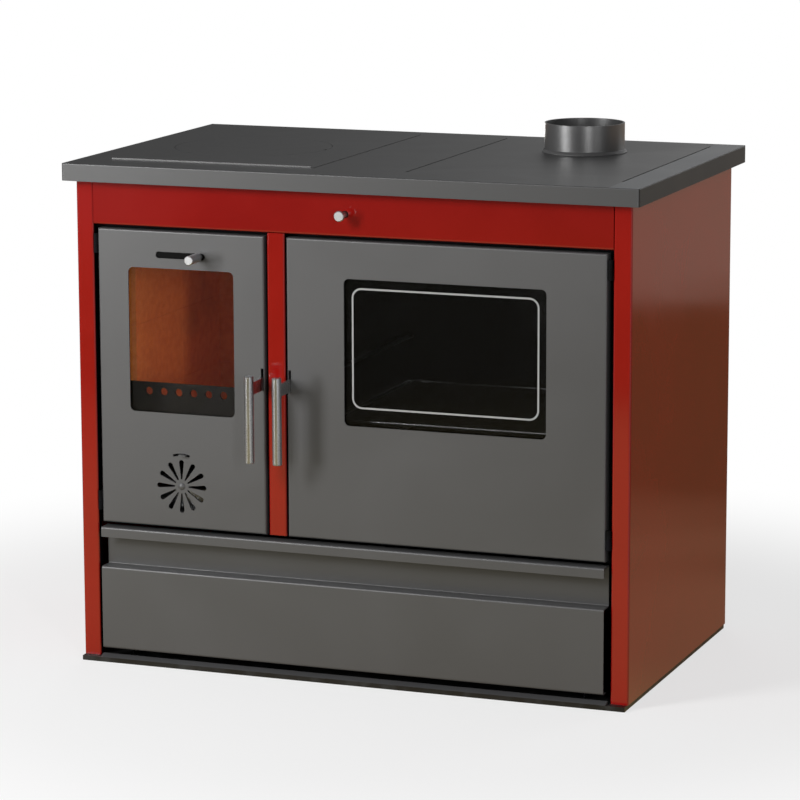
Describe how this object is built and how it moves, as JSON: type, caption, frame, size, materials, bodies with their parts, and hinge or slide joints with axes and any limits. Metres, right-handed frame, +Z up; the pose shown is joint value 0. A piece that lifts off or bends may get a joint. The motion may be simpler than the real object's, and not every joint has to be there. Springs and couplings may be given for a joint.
{
  "type": "wood-burning cook stove",
  "caption": "Free-standing wood-burning cook stove with a glazed firebox door, a glazed oven door, a pull-out drawer, a steel hob with a lift-off lid, and a flue collar on top.",
  "frame": {"origin": "on the floor, in the middle of the body's width, in the plane of the front stiles", "axes": "+X to the right as seen from the front, +Y from the front to the back, +Z up"},
  "size_m": [1.002, 0.6688, 0.9],
  "materials": {
    "red_enamel": "gloss",
    "charcoal_paint": "satin",
    "hob_steel": "matte",
    "black_base": "satin",
    "black_steel": "matte",
    "oven_enamel": "gloss",
    "firebrick": "matte",
    "cast_iron": "matte",
    "zinc_steel": "satin",
    "chrome_wire": "gloss",
    "satin_steel": "satin",
    "fire_glass": "gloss",
    "oven_glass": "gloss",
    "rope_seal": "matte"
  },
  "bodies": {
    "cabinet": {"base_plate": "black_base", "base_front_lip": "charcoal_paint", "left_side_panel": "red_enamel", "right_side_panel": "red_enamel", "back_panel": "black_steel", "top_fascia": "red_enamel", "centre_stile": "red_enamel", "front_frame": "black_steel", "inner_floor": "black_steel", "hob_plate": "hob_steel", "lid_seat_ring": "black_steel", "flue_collar": "charcoal_paint", "flue_bead": "charcoal_paint", "firebox_shell": "black_steel", "hearth_plate": "black_steel", "firebricks_left": "firebrick", "firebricks_right": "firebrick", "firebricks_back": "firebrick", "grate": "cast_iron", "ash_pan": "zinc_steel", "log_retainer": "black_steel", "oven_liner": "oven_enamel", "oven_shelf_rails": "zinc_steel", "oven_rack": "chrome_wire", "smoke_channel_plates": "black_steel", "flue_partition": "black_steel", "fire_door_hinges": "black_steel", "oven_door_hinges": "black_steel", "door_catches": "zinc_steel", "drawer_runners": "black_steel", "damper_guide": "zinc_steel", "back_screws": "zinc_steel"},
    "fire_door": {"fire_door_panel": "charcoal_paint", "fire_door_glass": "fire_glass", "fire_glass_clips": "zinc_steel", "fire_seal_channel": "black_steel", "fire_door_seal": "rope_seal", "fire_door_knuckles": "black_steel", "primary_air_rivet": "charcoal_paint", "fire_latch_bracket": "zinc_steel"},
    "fire_handle": {"fire_handle_grip": "satin_steel", "fire_latch_lever": "satin_steel"},
    "primary_air": {"primary_air_disc": "black_steel"},
    "secondary_air": {"secondary_air_slide": "black_steel", "secondary_air_knob": "satin_steel"},
    "oven_door": {"oven_door_panel": "charcoal_paint", "oven_door_glass": "oven_glass", "oven_glass_clips": "zinc_steel", "oven_seal_channel": "black_steel", "oven_door_seal": "rope_seal", "oven_door_knuckles": "black_steel", "oven_latch_bracket": "zinc_steel"},
    "oven_handle": {"oven_handle_grip": "satin_steel", "oven_latch_lever": "satin_steel"},
    "damper": {"damper_rod": "zinc_steel", "damper_knob": "satin_steel", "damper_plate": "black_steel"},
    "drawer": {"drawer_front": "charcoal_paint", "drawer_box": "black_steel"},
    "lid": {"hob_lid": "hob_steel"}
  },
  "joints": [
    {"name": "fire_door_swing", "type": "hinge", "parent": "cabinet", "child": "fire_door", "pos_m": [-0.44875, 0, 0.492], "axis": [0, 0, -1], "range_deg": [0, 105]},
    {"name": "oven_door_swing", "type": "hinge", "parent": "cabinet", "child": "oven_door", "pos_m": [0.44875, 0, 0.492], "axis": [0, 0, 1], "range_deg": [0, 105]},
    {"name": "fire_handle_lift", "type": "hinge", "parent": "fire_door", "child": "fire_handle", "pos_m": [-0.1496, 0.008, 0.4965], "axis": [-1, 0, 0], "range_deg": [0, 38]},
    {"name": "oven_handle_lift", "type": "hinge", "parent": "oven_door", "child": "oven_handle", "pos_m": [-0.1005, 0.008, 0.4965], "axis": [-1, 0, 0], "range_deg": [0, 38]},
    {"name": "primary_air_turn", "type": "hinge", "parent": "fire_door", "child": "primary_air", "pos_m": [-0.2975, 0, 0.3127], "axis": [0, -1, 0], "range_deg": [0, 12.5]},
    {"name": "secondary_air_move", "type": "slide", "parent": "fire_door", "child": "secondary_air", "axis": [-1, 0, 0], "range_m": [0, 0.074]},
    {"name": "damper_pull", "type": "slide", "parent": "cabinet", "child": "damper", "axis": [0, -1, 0], "range_m": [0, 0.06]},
    {"name": "drawer_pull", "type": "slide", "parent": "cabinet", "child": "drawer", "axis": [0, -1, 0], "range_m": [0, 0.38]},
    {"name": "lid_lift", "type": "slide", "parent": "cabinet", "child": "lid", "axis": [0, 0, 1], "range_m": [0, 0.12]}
  ]
}
